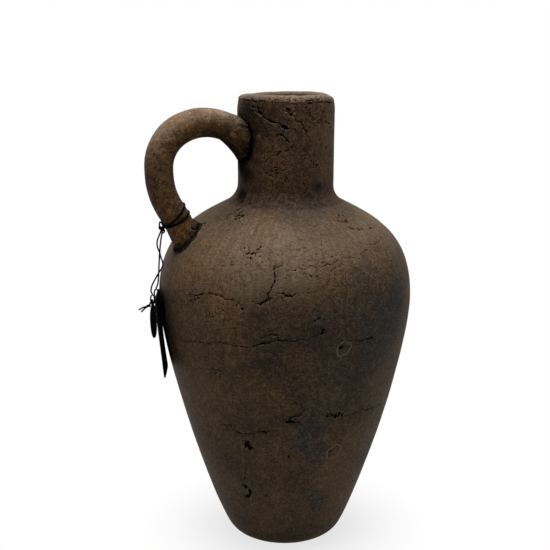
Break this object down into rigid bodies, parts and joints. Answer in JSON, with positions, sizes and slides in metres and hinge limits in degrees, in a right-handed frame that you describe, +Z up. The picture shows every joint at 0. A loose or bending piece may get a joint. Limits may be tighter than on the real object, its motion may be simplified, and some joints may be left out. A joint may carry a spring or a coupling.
{
  "type": "jug vase",
  "caption": "Smoky brown earthenware jug vase with a tapering belly, straight neck and round loop handle, with plain tags on a cord tied to the handle.",
  "frame": {"origin": "centre of the flat underside of the body, on the vessel's axis of revolution", "axes": "+Z up along the vessel's axis; the handle points to -X and lies in the XZ plane; +Y completes the right-handed frame"},
  "size_m": [0.2479, 0.223, 0.4],
  "materials": {
    "body_clay": "dry matt earthenware, dark umber brown, smoke-stained, sandy, cracked and pitted",
    "neck_clay": "dry matt earthenware, dark umber brown, flaked in places",
    "lip_clay": "dry matt earthenware, worn paler along the rim",
    "handle_clay": "matt earthenware, golden brown, rubbed smooth by hands",
    "luting_clay": "matt earthenware, sooty, smeared clay",
    "waxed_cord": "black waxed cotton",
    "tag_card": "black card, uncoated, plain"
  },
  "bodies": {
    "jug": {"body": "body_clay", "neck": "neck_clay", "lip": "lip_clay", "handle": "handle_clay", "upper_luting": "luting_clay", "lower_luting": "luting_clay", "cord_wrap": "waxed_cord"},
    "knot": {"cord_knot": "waxed_cord"},
    "strands": {"long_strand": "waxed_cord", "short_strand": "waxed_cord", "long_tag_loop": "waxed_cord", "short_tag_loop": "waxed_cord", "tag_tie": "waxed_cord"},
    "long_tag": {"long_tag": "tag_card"},
    "short_tag": {"short_tag": "tag_card"}
  },
  "joints": [
    {"name": "pendant_swing", "type": "hinge", "parent": "jug", "child": "knot", "pos_m": [-0.11336, 0, 0.29037], "axis": [-0.8772, 0, -0.4801], "range_deg": [-25, 25]},
    {"name": "pendant_lift", "type": "hinge", "parent": "knot", "child": "strands", "pos_m": [-0.11336, 0, 0.29037], "axis": [0, 1, 0], "range_deg": [0, 60]},
    {"name": "long_tag_swing", "type": "hinge", "parent": "strands", "child": "long_tag", "pos_m": [-0.1199, -0.0027, 0.23177], "axis": [-0.9388, 0.3319, -0.092], "range_deg": [0, 35]},
    {"name": "short_tag_swing", "type": "hinge", "parent": "strands", "child": "short_tag", "pos_m": [-0.1241, -0.0055, 0.22787], "axis": [0.9954, -0.096, 0], "range_deg": [0, 35]}
  ]
}
